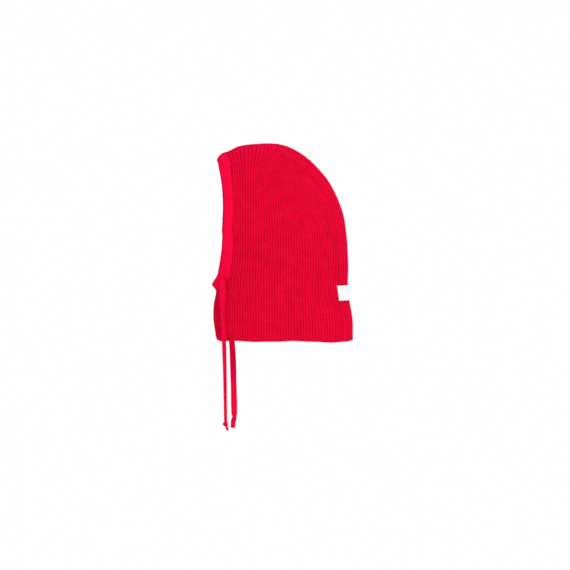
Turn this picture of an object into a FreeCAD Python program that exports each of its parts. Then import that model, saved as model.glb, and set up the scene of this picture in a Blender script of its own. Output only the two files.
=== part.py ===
"""Rib-knit drawstring hood (balaclava), opened as it stands on a head.

Millimetres.  +Z is up, the face opening looks along -Y and the wearer's left is +X.
The origin is the head seat: the point inside the crown, on the centre plane, that rests on the head.
Shapes are worked out in heights above the hem and moved down to the head seat when they are written.

The knit skin is the space between two nested hulls.  A hull is given slice by slice: each level slice
is a lens from the front line to the back line, as wide as half_width() on each side.  The skin is
divided by curves drawn in the side view, so that neighbouring pieces meet face to face.
"""
import FreeCAD, Part
import math
import os

Vector = FreeCAD.Vector

# ---- driving dimensions ----
TOP = 353.7                 # crown above the hem
SEAT_HEIGHT = 346.0         # head seat above the hem
KNIT = 4.0                  # thickness of the rib knit
HEAD_WIDTH = 76.0           # half width at the temples
NECK_WIDTH = 54.0           # half width at the neck
HEM_WIDTH = 58.0            # half width at the hem
SECTION_POWER = 1.15        # 1 is a round slice, above 1 pulls the folds in
CREST_Y = -40.0             # highest point of the crown
NAPE_Y = 111.6              # back of the head and nape
CROWN_BASE = 130.0          # height where the round back of the head starts
CROWN_POWER = 2.3           # 2 is an ellipse, above 2 is squarer
HEM_FLARE = 9.0             # how far the back swings out at the hem
FLARE_HEIGHTS = (104.0, 24.0)   # where that flare starts and ends
SHOULDER_HEIGHTS = (85.0, 200.0)    # between these the neck widens to the head
HEM_WIDEN_HEIGHT = 70.0     # below this the neck widens to the hem
VIRTUAL_FRONT = 112.0       # reach of the hull in front of the crest, cut away by the face opening
VIRTUAL_BASE = 104.0        # height where that reach starts to round over, and how squarely
VIRTUAL_POWER = 3.5
THROAT_TOP = 200.0          # above this the hull's front is the virtual one
BAND_PROUD = 1.5            # how far the face band stands out of the knit, inside and outside
SEAM = 2.5                  # width of a linked seam
HEM = 3.5                   # height of the bound-off hem edge
GUSSET_INSET = 22.0         # side-view distance from the back outline to the gusset's edge
DART_Y = -18.0              # front end of the gusset
CHANNEL_MARGIN = 2.0        # knit left at each edge of the band's channel
CHANNEL_DEPTH = 0.3         # the channel's outer wall reaches this far into the knit's thickness
CORD_GAP = 0.3              # between the cord and the channel's walls
CORD_EDGE_GAP = 0.5         # and between its edges and the channel's
CORD_WIDTH = 11.0           # flat knitted drawcord
CORD_THICK = 3.6
EYELET_Y = -108.5
EYELET_HEIGHT = 110.0
EYELET_OUTER = 5.8
EYELET_INNER = 3.6
EYELET_LIP = 0.8            # how far the stitched rim reaches beyond its sleeve
EYELET_PROUD = 0.9          # height of the rim above the band
EYELET_RIM_BACK = 0.6       # how far the rim sinks into the band
STUB_PROUD = 1.5            # how far the bunched cord stands out of the band
STUB_RADIUS = 2.8           # drawcord bunched up where it passes the eyelet
KNOT_RADIUS = 5.0
KNOT_BITE = 1.5             # how far the tie's end reaches into its knot
TAIL_WIDTH = {"left": 4.0, "right": 8.0}
TAIL_THICK = 3.0
LABEL_HALF = 27.0           # label's reach to each side of the centre back
LABEL_LOW = 72.4
LABEL_HIGH = 99.6
LABEL_THICK = 0.8
LABEL_STITCHES = 7          # down each end of the label
STITCH_THICK = 0.4
STITCH_WIDTH = 0.8
STITCH_INSET = 2.2          # from the label's end to the far side of its stitches
CARE_WIDTH = 30.0
CARE_LENGTH = 45.0
CARE_THICK = 0.6
CARE_Y = 55.0               # front edge of the care label, on the wearer's left
CARE_HEIGHT = 12.0          # its lower edge above the hem
BOUND = 400.0               # beyond the hood on every side

ACROSS = (-10.0, BOUND)     # x range of the tools that cut a left half
ALONG = (-BOUND, BOUND)     # y range of the tools that cut its full depth

# ---- side-view lines, as (y, height above the hem) ----
NECK_FRONT = [(-124.5, 0), (-127.5, 20), (-129.6, 47), (-128.4, 76), (-127.6, 92), (-129.8, 106),
              (-131.5, 125), (-141.0, 165), (-150.8, 200)]
BAND_SEAM_LINE = [(-145.0, 85), (-123.7, 90.5), (-112.0, 98), (-104.0, 110), (-99.0, 125), (-95.5, 165),
                  (-95.0, 245), (-96.7, 293), (-100.6, 326), (-110.0, 362)]
FREE_EDGE_LINE = [(-146.0, 97), (-130.6, 103), (-124.2, 117), (-117.5, 143), (-113.4, 185), (-111.6, 230),
                  (-113.4, 277), (-117.0, 306), (-122.0, 328), (-132.0, 350)]

# ---- routes of the two ties, as (x, y, height above the hem), from the eyelet down to the knot ----
LEFT_ROUTE = [(33.6, -112.6, 110), (34.2, -113.2, 78), (35.4, -112.4, 41), (37.2, -110.6, 4),
              (38.3, -108.9, -34), (38.0, -107.6, -72), (38.8, -107.0, -110), (38.6, -106.3, -146)]
RIGHT_ROUTE = [(-33.6, -112.6, 110), (-35.2, -108.6, 80), (-38.2, -102.0, 43), (-40.6, -97.0, 6),
               (-41.6, -95.0, -31), (-41.4, -94.5, -68), (-42.2, -93.8, -104), (-42.0, -93.6, -138)]
LEFT_TAIL = [(38.6, -106.2, -150), (38.8, -104.4, -156), (38.5, -102.2, -161.5)]
RIGHT_TAIL = [(-42.0, -93.8, -143), (-41.8, -94.6, -150), (-42.2, -94.8, -157)]


# ---- the hull ----
def smooth_through(points, height):
    """Value at a height on a smooth line through (value, height) points."""
    last = len(points) - 2
    index = 0
    while index < last and height > points[index + 1][1]:
        index += 1
    value0, low = points[index]
    value1, high = points[index + 1]
    before = points[max(index - 1, 0)]
    after = points[min(index + 2, len(points) - 1)]
    slope0 = (value1 - before[0]) / (high - before[1])
    slope1 = (after[0] - value0) / (after[1] - low)
    span = high - low
    t = (height - low) / span
    return ((2 * t ** 3 - 3 * t ** 2 + 1) * value0 + (t ** 3 - 2 * t ** 2 + t) * span * slope0
            + (3 * t ** 2 - 2 * t ** 3) * value1 + (t ** 3 - t ** 2) * span * slope1)


def ease(value, start, end):
    """0 at start, 1 at end, level at both."""
    t = min(max((value - start) / (end - start), 0.0), 1.0)
    return t * t * (3 - 2 * t)


def dome(height, base, power, root):
    """1 at the base height, falling to 0 at the crown."""
    t = max((height - base) / (TOP - base), 0.0)
    return max(1 - t ** power, 0.0) ** root


def front_line(height):
    """Front of the slice; above the throat it runs in front of the face opening."""
    if height < THROAT_TOP:
        return smooth_through(NECK_FRONT, height)
    return CREST_Y - VIRTUAL_FRONT * dome(height, VIRTUAL_BASE, VIRTUAL_POWER, 1 / VIRTUAL_POWER)


def back_line(height):
    """Back outline: straight nape, round crown, flared hem."""
    reach = (NAPE_Y - CREST_Y) * dome(height, CROWN_BASE, CROWN_POWER, 1 / CROWN_POWER)
    return CREST_Y + reach + HEM_FLARE * ease(height, *FLARE_HEIGHTS)


def half_width(height):
    neck = NECK_WIDTH + (HEAD_WIDTH - NECK_WIDTH) * ease(height, *SHOULDER_HEIGHTS)
    hem = (HEM_WIDTH - NECK_WIDTH) * ease(height, HEM_WIDEN_HEIGHT, 0.0)
    return (neck + hem) * dome(height, SHOULDER_HEIGHTS[1], 2.0, 0.5)


def hull_point(turn, height, depth=0.0):
    """Point of the hull on the wearer's left; turn is 0 at the front and 180 degrees at the back."""
    front = front_line(height)
    back = back_line(height)
    x = half_width(height) * abs(math.sin(turn)) ** SECTION_POWER
    y = (front + back) / 2 - (back - front) / 2 * math.cos(turn)
    return Vector(x * (1 - depth / HEAD_WIDTH),
                  y * (1 - depth / NAPE_Y),
                  height * (1 - depth / TOP))


def hull_half(depth):
    """Solid left half of the hull, shrunk by depth."""
    spacing = 14.0
    crown_start = 294.0
    steps = 10
    columns = 28
    crown = TOP - 0.6
    heights = [spacing * i for i in range(int(crown_start / spacing) + 1)]
    heights += [crown - (crown - crown_start) * (1 - i / steps) ** 2 for i in range(1, steps + 1)]
    turns = [math.pi * i / columns for i in range(columns + 1)]
    grid = [[hull_point(turn, height, depth) for turn in turns] for height in heights]
    for row in grid:
        row[0].x = 0.0
        row[-1].x = 0.0
    surface = Part.BSplineSurface()
    surface.interpolate(grid)
    skin = surface.toShape()
    faces = [skin]
    low_front, low_back = grid[0][0], grid[0][-1]
    high_front, high_back = grid[-1][0], grid[-1][-1]
    low_line = Part.makeLine(low_back, low_front)
    high_line = Part.makeLine(high_back, high_front)
    for height, line in ((low_front.z, low_line), (high_front.z, high_line)):
        rim = [edge for edge in skin.Edges if abs(edge.BoundBox.ZMax - height) < 1e-6
               and edge.BoundBox.ZLength < 1e-6]
        faces.append(Part.Face(Part.Wire(rim + [line])))
    sides = [edge for edge in skin.Edges if edge.BoundBox.XLength < 1e-6 and edge.BoundBox.ZLength > 1]
    faces.append(Part.Face(Part.Wire(Part.__sortEdges__(sides + [low_line, high_line]))))
    shell = Part.makeShell(faces)
    shell.sewShape()
    solid = Part.Solid(shell)
    if solid.Volume < 0:
        solid.reverse()
    return solid


def skin_half(outer_depth, inner_depth):
    """Left half of the layer between two hulls."""
    return hull_half(outer_depth).cut(hull_half(inner_depth))


# ---- zones drawn in the side view and carried across in x ----
def side_curve(points):
    curve = Part.BSplineCurve()
    curve.interpolate([Vector(-5, y, height) for y, height in points])
    return curve.toShape()


def zone(points, corners):
    """Prism bounded by a smooth curve through the points and straight lines round the corners."""
    path = [Vector(-5, y, height) for y, height in [points[-1]] + corners + [points[0]]]
    lines = [Part.makeLine(a, b) for a, b in zip(path, path[1:])]
    return Part.Face(Part.Wire([side_curve(points)] + lines)).extrude(Vector(BOUND, 0, 0))


def moved(points, distance):
    """The points of a front edge, carried towards the face across the edge's own run."""
    result = []
    for i, (y, height) in enumerate(points):
        before = points[max(i - 1, 0)]
        after = points[min(i + 1, len(points) - 1)]
        run = math.hypot(after[0] - before[0], after[1] - before[1])
        result.append((y - distance * (after[1] - before[1]) / run,
                       height + distance * (after[0] - before[0]) / run))
    return result


def before_line(points, distance=0.0):
    """Everything in front of a front edge."""
    line = moved(points, distance)
    return zone(line, [(-BOUND, line[-1][1]), (-BOUND, line[0][1])])


def gusset_zone(margin=0.0):
    """Everything behind the gusset's edge and its front end, widened by a margin."""
    inset = GUSSET_INSET + margin
    line = [(back_line(height) - inset, height) for height in (-6.0, 24.0, 78.0)]
    reach_y = NAPE_Y - CREST_Y - inset
    reach_height = TOP - CROWN_BASE - inset
    steps = 8
    for step in range(steps + 1):
        angle = math.pi / 2 * step / steps
        line.append((CREST_Y + reach_y * max(math.cos(angle), 0.0) ** (2 / CROWN_POWER),
                     CROWN_BASE + reach_height * math.sin(angle) ** (2 / CROWN_POWER)))
    behind = zone(line, [(CREST_Y, BOUND), (BOUND, BOUND), (BOUND, line[0][1])])
    return behind.common(box(ACROSS, (DART_Y - margin, BOUND), (-BOUND, BOUND)))


def box(x, y, height):
    """Box between two values of each coordinate."""
    return Part.makeBox(x[1] - x[0], y[1] - y[0], height[1] - height[0], Vector(x[0], y[0], height[0]))


def mirrored(shape):
    return shape.mirror(Vector(0, 0, 0), Vector(1, 0, 0))


def whole(half):
    """A left half joined to its mirror image."""
    return half.fuse(mirrored(half)).removeSplitter()


# ---- pieces of the knit ----
def knit_pieces():
    """The hood's skin, divided into its panels, seams and edges."""
    skin = skin_half(0.0, KNIT)
    band_side = before_line(BAND_SEAM_LINE)
    body = skin.cut(band_side)
    pieces = {}
    pieces["band_seam"] = whole(skin.common(band_side).cut(before_line(BAND_SEAM_LINE, SEAM)))
    hem_slab = box(ACROSS, ALONG, (-BOUND, HEM))
    pieces["hem_edge"] = whole(body.common(hem_slab))
    body = body.cut(hem_slab)
    neck_slot = box((ACROSS[0], SEAM / 2), (-BOUND, EYELET_Y), (-BOUND, EYELET_HEIGHT))
    pieces["front_neck_seam"] = whole(body.common(neck_slot))
    body = body.cut(neck_slot)
    gusset = gusset_zone()
    seams = body.common(gusset_zone(SEAM)).cut(gusset)
    front_end = box(ACROSS, (-BOUND, DART_Y), (-BOUND, BOUND))
    pieces["dart_seam"] = whole(seams.common(front_end))
    pieces["left_gusset_seam"] = seams.cut(front_end)
    pieces["right_gusset_seam"] = mirrored(pieces["left_gusset_seam"])
    pieces["back_gusset"] = whole(body.common(gusset))
    pieces["hood_panel"] = whole(body.cut(gusset_zone(SEAM)))
    return pieces


# ---- face band and the cord inside it ----
def surface_frame(y, height, depth):
    """Point of a hull on the wearer's left and its level outward normal."""
    front = front_line(height)
    back = back_line(height)
    reach = (back - front) / 2
    side = (y - (front + back) / 2) / reach
    turn = math.acos(-side)
    point = hull_point(turn, height, depth)
    lean = SECTION_POWER * side * (1 - side * side) ** (SECTION_POWER / 2 - 1) / reach
    normal = Vector(1 / half_width(height), lean, 0)
    normal.normalize()
    return Vector(point.x, point.y, height), normal


def rod(start, direction, radius, low, high):
    """Cylinder along a direction, from low to high as measured from start."""
    return Part.makeCylinder(radius, high - low, start + direction * low, direction)


def band_pieces(band_seam):
    """Tubular face band with its cord channel, the cord in the channel and the two eyelets."""
    seam_side = before_line(BAND_SEAM_LINE, SEAM)
    opening = before_line(FREE_EDGE_LINE)
    band = skin_half(-BAND_PROUD, KNIT + BAND_PROUD).common(seam_side).cut(opening)
    channel_back = before_line(BAND_SEAM_LINE, SEAM + CHANNEL_MARGIN)
    channel_front = before_line(FREE_EDGE_LINE, -CHANNEL_MARGIN)
    channel = skin_half(CHANNEL_DEPTH, KNIT - CHANNEL_DEPTH).common(channel_back).cut(channel_front)
    cord_depth = CHANNEL_DEPTH + CORD_GAP
    cord_back = before_line(BAND_SEAM_LINE, SEAM + CHANNEL_MARGIN + CORD_EDGE_GAP)
    cord_front = before_line(FREE_EDGE_LINE, -CHANNEL_MARGIN - CORD_EDGE_GAP)
    cord = skin_half(cord_depth, KNIT - cord_depth).common(cord_back).cut(cord_front)
    below_eyelet = box(ACROSS, ALONG, (-BOUND, EYELET_HEIGHT - EYELET_OUTER))
    point, normal = surface_frame(EYELET_Y, EYELET_HEIGHT, -BAND_PROUD)
    middle = -BAND_PROUD - KNIT / 2
    sleeve_radius = EYELET_OUTER - EYELET_LIP
    band = band.cut(channel).cut(rod(point, normal, sleeve_radius, middle, KNIT))
    stub = rod(point, normal, STUB_RADIUS, middle, STUB_PROUD)
    cord = cord.cut(below_eyelet).fuse(stub).cut(band_seam)
    flange = rod(point, normal, EYELET_OUTER, -EYELET_RIM_BACK, EYELET_PROUD)
    sleeve = rod(point, normal, sleeve_radius, -BAND_PROUD, EYELET_PROUD)
    hole = rod(point, normal, EYELET_INNER, middle, KNIT)
    eyelet = flange.fuse(sleeve).cut(hole).cut(band).cut(band_seam).cut(cord)
    return {"face_band": whole(band), "drawcord_run": whole(cord),
            "left_eyelet": eyelet, "right_eyelet": mirrored(eyelet)}


# ---- the two hanging ties ----
def rounded_path(points, name):
    """Straight runs joined by tangent arcs as large as the runs allow."""
    corners = [Vector(*point) for point in points]
    edges = []
    radii = []
    start = corners[0]
    for before, corner, after in zip(corners, corners[1:], corners[2:]):
        run_in = corner - before
        run_out = after - corner
        half_turn = run_in.getAngle(run_out) / 2
        setback = 0.45 * min(run_in.Length, run_out.Length)
        radius = setback / math.tan(half_turn)
        run_in.normalize()
        run_out.normalize()
        inward = run_out - run_in
        inward.normalize()
        arc_start = corner - run_in * setback
        arc_middle = corner + inward * (radius / math.cos(half_turn) - radius)
        arc_end = corner + run_out * setback
        edges.append(Part.makeLine(start, arc_start))
        edges.append(Part.Arc(arc_start, arc_middle, arc_end).toShape())
        start = arc_end
        radii.append(round(radius))
    edges.append(Part.makeLine(start, corners[-1]))
    path = Part.Wire(edges)
    print(name, "length", round(path.Length, 1), "radii", radii)
    return path


def flat_cord(points, width, thick, across, name):
    """Cord of flat oval section along a route; across is the direction of its width at the start."""
    path = rounded_path(points, name)
    start = Vector(*points[0])
    along = Vector(*points[1]) - start
    along.normalize()
    across = across - along * across.dot(along)
    across.normalize()
    oval = Part.Ellipse(start + across * (width / 2), start + along.cross(across) * (thick / 2), start)
    section = Part.Wire([oval.toShape()])
    cord = path.makePipeShell([section], True, False)
    expected = math.pi * width * thick / 4 * path.Length
    print(name, "volume", round(cord.Volume), "expected", round(expected))
    return cord


def tie_pieces(side, route, tail_route):
    """One tie with the knot and the short tail at its end; side is left or right."""
    normal = surface_frame(EYELET_Y, EYELET_HEIGHT, 0.0)[1]
    across = Vector(-normal.y, normal.x, 0)
    if side == "right":
        across.x = -across.x
    tie = flat_cord(route, CORD_WIDTH, CORD_THICK, across, side + "_tie")
    tail = flat_cord(tail_route, TAIL_WIDTH[side], TAIL_THICK, across, side + "_tail")
    knot = Part.makeSphere(KNOT_RADIUS, Vector(*route[-1]) - Vector(0, 0, KNOT_RADIUS - KNOT_BITE))
    return {side + "_tie": tie, side + "_tie_knot": knot.cut(tie), side + "_tie_tail": tail.cut(knot)}


# ---- labels ----
def label_pieces():
    """Blank woven label folded round the nape, its stitches, and the care label inside."""
    behind = (0, BOUND)
    label_span = box((ACROSS[0], LABEL_HALF), behind, (LABEL_LOW, LABEL_HIGH))
    label = whole(skin_half(-LABEL_THICK, 0.0).common(label_span))
    thread = skin_half(-LABEL_THICK - STITCH_THICK, -LABEL_THICK)
    stitches = []
    stitch_x = (LABEL_HALF - STITCH_INSET, LABEL_HALF - STITCH_INSET + STITCH_WIDTH)
    pitch = (LABEL_HIGH - LABEL_LOW) / LABEL_STITCHES
    for i in range(LABEL_STITCHES):
        low = LABEL_LOW + pitch * (i + 0.25)
        mark = thread.common(box(stitch_x, behind, (low, low + pitch / 2)))
        stitches += [mark, mirrored(mark)]
    care_span = box((0, BOUND), (CARE_Y, CARE_Y + CARE_WIDTH), (CARE_HEIGHT, CARE_HEIGHT + CARE_LENGTH))
    care = skin_half(KNIT, KNIT + CARE_THICK).common(care_span)
    return {"back_label": label, "label_stitches": Part.makeCompound(stitches), "care_label": care}


# ---- write every piece in its own file ----
def main():
    os.makedirs("parts", exist_ok=True)
    pieces = knit_pieces()
    pieces.update(band_pieces(pieces["band_seam"]))
    pieces.update(tie_pieces("left", LEFT_ROUTE, LEFT_TAIL))
    pieces.update(tie_pieces("right", RIGHT_ROUTE, RIGHT_TAIL))
    pieces.update(label_pieces())
    for name, shape in pieces.items():
        shape.translate(Vector(0, 0, -SEAT_HEIGHT))
        solids = shape.Solids
        written = solids[0] if len(solids) == 1 else Part.makeCompound(solids)
        written.exportStep("parts/" + name + ".step")
        print(name, "solids", len(solids), "volume", round(written.Volume), "valid", written.isValid())


main()
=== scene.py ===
"""Looks of the rib-knit drawstring hood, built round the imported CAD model.

Lengths in the knit's own formulas are millimetres, and heights are counted from the hem; to_row() turns
them into the row frame's metres.  Every knitted piece lies on one skin, given by a turn (0 at the centre
front, pi at the centre back, negative on the wearer's right) and a height.
"""

import math

import bmesh
import bpy
import numpy as np
from mathutils import Matrix, Vector, noise

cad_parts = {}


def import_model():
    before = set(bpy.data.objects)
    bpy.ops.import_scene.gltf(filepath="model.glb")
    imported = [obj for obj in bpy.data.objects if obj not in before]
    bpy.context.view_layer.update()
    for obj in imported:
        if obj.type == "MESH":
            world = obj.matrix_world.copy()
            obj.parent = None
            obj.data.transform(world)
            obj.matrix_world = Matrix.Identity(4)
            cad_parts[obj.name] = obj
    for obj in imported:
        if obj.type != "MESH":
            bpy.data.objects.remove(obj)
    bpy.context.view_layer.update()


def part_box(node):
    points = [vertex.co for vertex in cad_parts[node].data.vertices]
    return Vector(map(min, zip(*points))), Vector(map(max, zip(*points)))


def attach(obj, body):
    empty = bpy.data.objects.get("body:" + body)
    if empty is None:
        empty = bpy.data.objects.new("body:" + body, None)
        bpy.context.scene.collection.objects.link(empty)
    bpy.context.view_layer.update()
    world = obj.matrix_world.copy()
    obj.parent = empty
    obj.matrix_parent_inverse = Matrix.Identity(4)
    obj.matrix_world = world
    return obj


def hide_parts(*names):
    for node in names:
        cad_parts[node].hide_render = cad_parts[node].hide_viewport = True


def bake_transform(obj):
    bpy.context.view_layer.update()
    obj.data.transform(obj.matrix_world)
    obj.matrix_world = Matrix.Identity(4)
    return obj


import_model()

# ---- the skin's dimensions, the same as the CAD's ----
HEM_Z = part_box("hem_edge")[0].z
UP = np.array([0.0, 0.0, 1.0])
TOP = 353.7
CREST_Y = -40.0             # side-view y of the highest place
NAPE_Y = 113.4
HEM_FLARE = 9.0             # how far the back stands out at the hem
FLARE_HEIGHTS = (104.0, 24.0)   # where that starts and ends
HEAD_WIDTH = 76.0           # half widths
NECK_WIDTH = 54.0
HEM_WIDTH = 58.0
BROW_HEIGHT = 200.0         # where the head is widest and the crown's round front starts
VIRTUAL_FRONT = 112.0       # how far that round front would reach forward of the crest
FRONT_BASE = 104.0
FRONT_POWER = 3.5
SECTION_POWER = 1.15        # 1 would make the level sections ellipses
GUSSET_INSET = 22.0         # from the outline to the gusset's edge, in side view
CROWN_BASE = 146.0          # height where the round back of the crown starts
CROWN_POWER = 2.2
NECK_FRONT_Y = [-123.5, -127.0, -128.8, -127.6, -123.8, -126.2, -131.0, -141.0, -150.8]
NECK_FRONT_HEIGHT = [0, 20, 47, 68, 90, 106, 125, 165, 200]

# ---- the ribs ----
NECK_HEIGHT = 60.0          # where the ribs are counted
RIB_PITCH = 4.9             # round the neck
RIB_DEPTH = 0.95
COLUMNS_PER_RIB = 6
PANEL_THICK = 2.6
PANEL_LOW = 2.0             # the knit starts inside the bound-off hem
HEM_HALF = 1.9              # half height of that hem
HEM_OUT = 1.35              # half thickness of that hem
BAND_RIB = -95.5            # neck y of the rib that runs beside the band
DART_RIB = -30.0            # neck y of the rib that ends the gusset on the crown
THROAT = 125.0              # height where the band leaves the band's rib for the throat
THROAT_LOW = 90.5           # height of the band's seam at the centre front
STITCH = 2.6                # length of a linked stitch


# ---- small mathematics ----
def ease(value, start, end):
    """Soft step from 0 at start to 1 at end."""
    t = np.clip((value - start) / (end - start), 0.0, 1.0)
    return t * t * (3 - 2 * t)


def bell(value, centre, width, power=2):
    """Smooth hump of height 1 about a centre."""
    return np.exp(-((value - centre) / width) ** power)


def signed_power(value, power):
    return np.sign(value) * np.abs(value) ** power


def full_turn(count):
    """Angles evenly spaced once round."""
    return np.linspace(0, 2 * math.pi, count, endpoint=False)


def circle(sides):
    """Cosines and sines once round, each as one row."""
    angles = full_turn(sides)[None, :]
    return np.cos(angles), np.sin(angles)


def run_along(points):
    """Distance travelled along a line of points."""
    return np.concatenate([[0], np.cumsum(np.linalg.norm(np.diff(points, axis=0), axis=1))])


def unit(vectors):
    return vectors / np.maximum(np.linalg.norm(vectors, axis=-1, keepdims=True), 1e-9)


def hermite(t, here, there, slope_here, slope_there):
    """Cubic from one value to the next; the slopes are per step of t."""
    return ((2 * t ** 3 - 3 * t ** 2 + 1) * here + (t ** 3 - 2 * t ** 2 + t) * slope_here
            + (3 * t ** 2 - 2 * t ** 3) * there + (t ** 3 - t ** 2) * slope_there)


def smooth_through(knots, values, at):
    """Smooth line through (knot, value) pairs, level beyond its ends."""
    knots, values = np.asarray(knots, float), np.asarray(values, float)
    low = np.maximum(np.arange(len(knots)) - 1, 0)
    high = np.minimum(low + 2, len(knots) - 1)
    high[0] = 1
    slopes = (values[high] - values[low]) / (knots[high] - knots[low])
    at = np.clip(at, knots[0], knots[-1])
    i = np.clip(np.searchsorted(knots, at) - 1, 0, len(knots) - 2)
    span = knots[i + 1] - knots[i]
    return hermite((at - knots[i]) / span, values[i], values[i + 1], span * slopes[i], span * slopes[i + 1])


def dome(height, base, power):
    """1 up to base, then a rounded fall to 0 at the top of the crown."""
    t = np.maximum((height - base) / (TOP - base), 0.0)
    return np.maximum(1 - t ** power, 0.0) ** (1 / power)


def front_line(height):
    low = smooth_through(NECK_FRONT_HEIGHT, NECK_FRONT_Y, height)
    high = CREST_Y - VIRTUAL_FRONT * dome(height, FRONT_BASE, FRONT_POWER)
    return np.where(height < BROW_HEIGHT, low, high)


def back_line(height):
    reach = (NAPE_Y - CREST_Y) * dome(height, CROWN_BASE, CROWN_POWER)
    return CREST_Y + reach + HEM_FLARE * ease(height, *FLARE_HEIGHTS)


def half_width(height):
    neck = NECK_WIDTH + (HEAD_WIDTH - NECK_WIDTH) * ease(height, 85.0, BROW_HEIGHT)
    hem = (HEM_WIDTH - NECK_WIDTH) * ease(height, 70.0, 0.0)
    return (neck + hem) * dome(height, BROW_HEIGHT, 2.0)


def bare_point(turn, height):
    front = front_line(height)
    back = back_line(height)
    x = half_width(height) * signed_power(np.sin(turn), SECTION_POWER)
    y = (front + back) / 2 - (back - front) / 2 * np.cos(turn)
    return np.stack([x, y, height + 0 * x], axis=-1)


def turn_at(y, height):
    """Turn on the wearer's left of the skin's point at a y and a height."""
    front = front_line(height)
    back = back_line(height)
    return np.arccos(np.clip(-(y - (front + back) / 2) / np.maximum((back - front) / 2, 1e-6), -1, 1))


def skin_normal(turn, height):
    step = 0.01
    rise = 0.2
    low = np.minimum(height, TOP - 2 * rise)
    along = bare_point(turn + step, height) - bare_point(turn - step, height)
    up = bare_point(turn, low + rise) - bare_point(turn, low - rise)
    return unit(np.cross(along, up))


def skin(turn, height, out=0.0):
    """Point of the skin, carried outwards by out."""
    turn, height, out = np.broadcast_arrays(np.asarray(turn, float), height, out)
    return bare_point(turn, height) + skin_normal(turn, height) * out[..., None]


def to_row(points):
    """From millimetres above the hem to the row frame's metres."""
    return np.asarray(points, float) * 0.001 + UP * HEM_Z


def from_row(points):
    return (np.asarray(points, float) - UP * HEM_Z) * 1000


def bow(line, share):
    """Places along the arc that starts at line[0], heads for line[1] and ends at line[2]."""
    return (1 - share) ** 2 * line[0] + 2 * share * (1 - share) * line[1] + share ** 2 * line[2]


# ---- where the ribs run ----
def gusset_edge_y(height):
    low = back_line(height) - GUSSET_INSET
    t = np.clip((height - CROWN_BASE) / (TOP - CROWN_BASE - GUSSET_INSET), 0, 1)
    high = CREST_Y + (NAPE_Y - CREST_Y - GUSSET_INSET) * (1 - t ** CROWN_POWER) ** (1 / CROWN_POWER)
    return np.where(height < CROWN_BASE, low, high)


LEAN_START = 140.0          # height where the ribs start to lean forward with the gusset
LEAN = 38.0                 # how far they would lean LEAN_RISE higher up
LEAN_RISE = 145.0
FAN_MIDDLE = -72.0          # neck y of the rib that runs straight over the crown
FAN_HEIGHTS = (300.0, 352.0)
GATHER_HEIGHT = 108.0       # where the eyelet draws the ribs forward


def rib_y(rib, height):
    """Side-view y at a height of the rib that stands at y = rib in the neck."""
    gusset_lean = np.maximum(NAPE_Y - GUSSET_INSET - gusset_edge_y(height), 0)
    lean = np.minimum(LEAN * (np.maximum(height - LEAN_START, 0) / LEAN_RISE) ** 2.2, gusset_lean)
    lean = ease(rib, -60.0, 90.0) * lean
    fan = 0.6 * (rib - FAN_MIDDLE) * ease(height, *FAN_HEIGHTS)
    flare = HEM_FLARE * ease(height, *FLARE_HEIGHTS) * ease(rib, 0.0, 90.0)
    gather = -8.0 * bell(height, GATHER_HEIGHT, 20.0) * np.exp(-np.abs(rib - BAND_RIB) / 22.0)
    return rib - lean + fan + flare + gather


def line_y(rib, height):
    """The same for every rib; in front of the band's rib they share the room up to the centre front."""
    first = front_line(NECK_HEIGHT)
    share = (rib - first) / (BAND_RIB - first)
    front = front_line(height)
    shared = front + share * (rib_y(BAND_RIB, height) - front)
    return np.where(rib < BAND_RIB, shared, rib_y(rib, height))


def band_seam_y(height):
    """The band's seam between the front of the throat and the point where it meets the band's rib."""
    heights = [THROAT_LOW, 98.0, 110.0, THROAT]
    line = smooth_through(heights, [-124.0, -113.5, -106.0, rib_y(BAND_RIB, THROAT)], height)
    return np.where(height < THROAT_LOW, -1000.0, line)


def first_height(inside, low, high):
    """Height between low and high at which inside() first fails."""
    heights = np.linspace(low, high, 400)
    flags = inside(heights)
    stop = int(np.argmin(flags))
    if flags[stop]:
        return high
    if stop == 0:
        return low
    below, above = heights[stop - 1], heights[stop]
    for _ in range(24):
        middle = (below + above) / 2
        below, above = (middle, above) if inside(np.array([middle]))[0] else (below, middle)
    return below


def dart_corner():
    """Height where the gusset's edge meets the rib that ends it on the crown."""
    return first_height(lambda h: gusset_edge_y(h) >= rib_y(DART_RIB, h), CROWN_BASE, TOP - GUSSET_INSET)


def on_skin(rib):
    """True at the heights where the rib lies on the skin and not past its front fold or crown."""
    def test(heights):
        y = line_y(rib, heights)
        return (y >= front_line(heights) - 0.02) & (y <= back_line(heights) + 0.02)
    return test


def spaced(turns, heights, count):
    """A line on the skin taken again at evenly spaced places, and the distance along it."""
    run = run_along(bare_point(turns, heights))
    wanted = np.linspace(0, run[-1], count)
    return np.interp(wanted, run, turns), np.interp(wanted, run, heights), wanted


def run_of_rib(rib, low, high, rows):
    """Evenly spaced places (turn, height, distance) along a rib from one height to another."""
    t = np.linspace(0, 1, 600)
    heights = low + (high - low) * (1 - (1 - t) ** 2)
    return spaced(turn_at(line_y(rib, heights), heights), heights, rows + 1)


def neck_arc():
    """Arc from the centre front along the neck, and the y of its points."""
    turns = np.linspace(0, math.pi, 2000)
    points = bare_point(turns, np.full_like(turns, NECK_HEIGHT))
    return run_along(points), points[:, 1]


# ---- the cloth's own unevenness ----
def slack(points):
    """Soft hollows and swells of the cloth, the same for every piece at one place."""
    moved = np.empty_like(points)
    for i, (x, y, z) in enumerate(points):
        place = Vector((x / 62.0 + 4.0, y / 55.0, z / 75.0))    # one broad swell in 55 to 75 mm
        broad = noise.noise(place)
        fine = noise.noise(place * 2.9 + Vector((7.0, 3.0, 1.0)))
        side = math.copysign(1.0, x) * min(abs(x) / 12.0, 1.0)
        moved[i] = (x + side * (1.9 * broad + 0.5 * fine), y + 0.5 * fine, z + 0.5 * broad)
    return moved


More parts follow.
